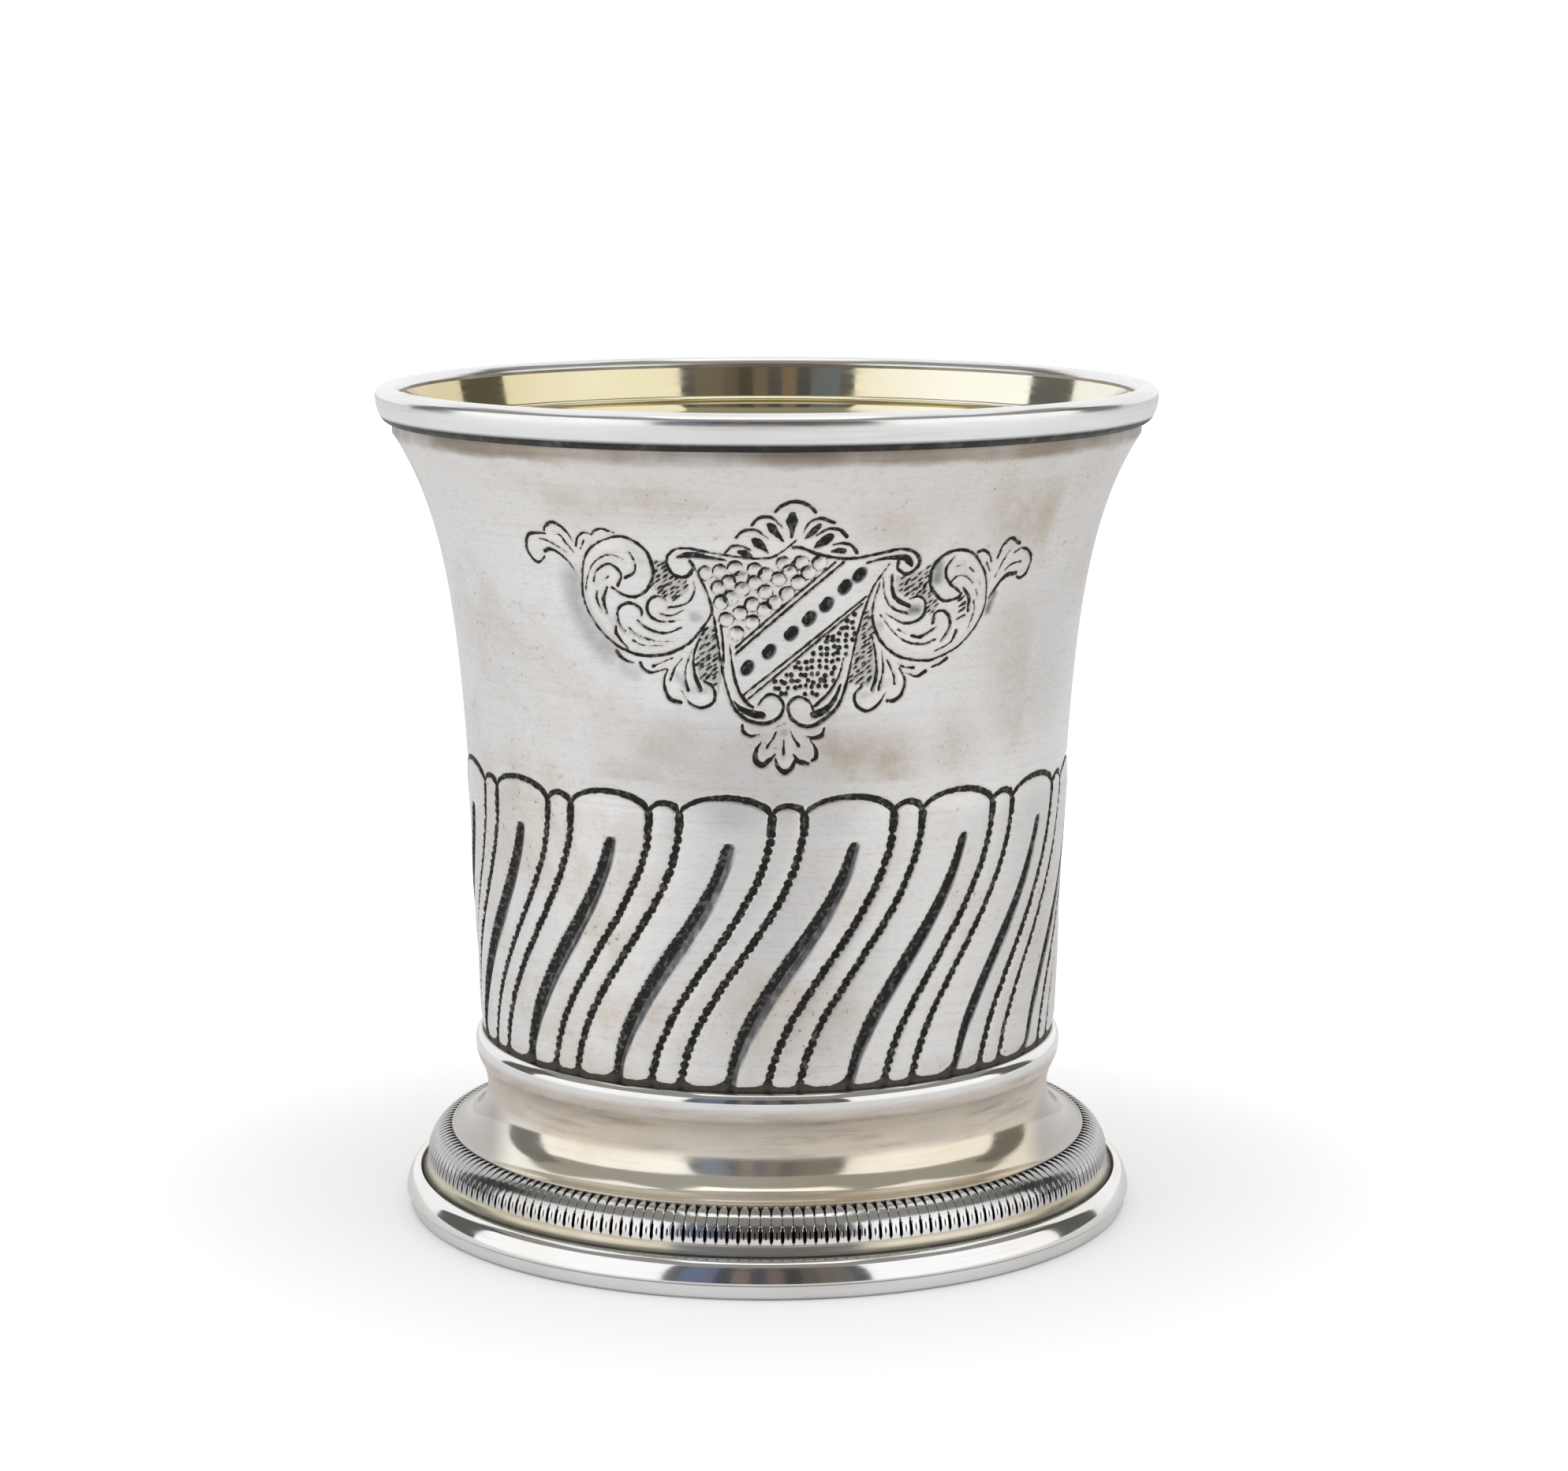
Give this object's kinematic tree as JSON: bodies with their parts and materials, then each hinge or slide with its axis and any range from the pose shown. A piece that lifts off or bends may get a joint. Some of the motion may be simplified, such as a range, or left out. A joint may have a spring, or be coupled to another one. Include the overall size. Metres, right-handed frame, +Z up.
{
  "type": "footed beaker",
  "caption": "Footed silver drinking beaker with a flared lip, chased spiral flutes, a scrolled cartouche, a gilt inside and a moulded foot with a milled band.",
  "frame": {"origin": "centre of the base on the plane that the beaker stands on", "axes": "+Z up along the axis of the cup, -Y towards the front with the cartouche, +X to the right seen from the front"},
  "size_m": [0.09, 0.09, 0.0965],
  "materials": {
    "satin_silver": "satin silver with chased lines, oxidised in the recesses",
    "polished_silver": "polished silver mouldings",
    "milled_silver": "polished silver tongues with oxidised slots",
    "foot_silver": "polished silver with a warm tarnish",
    "gilt": "gilt, polished"
  },
  "bodies": {
    "root": {"stand_ring": "polished_silver", "base_moulding": "polished_silver", "milled_band": "milled_silver", "foot_spool": "foot_silver", "collar_ring": "polished_silver", "cup_floor": "foot_silver", "cup_wall": "satin_silver", "gilt_lining": "gilt", "rim_wire": "polished_silver"}
  },
  "joints": []
}
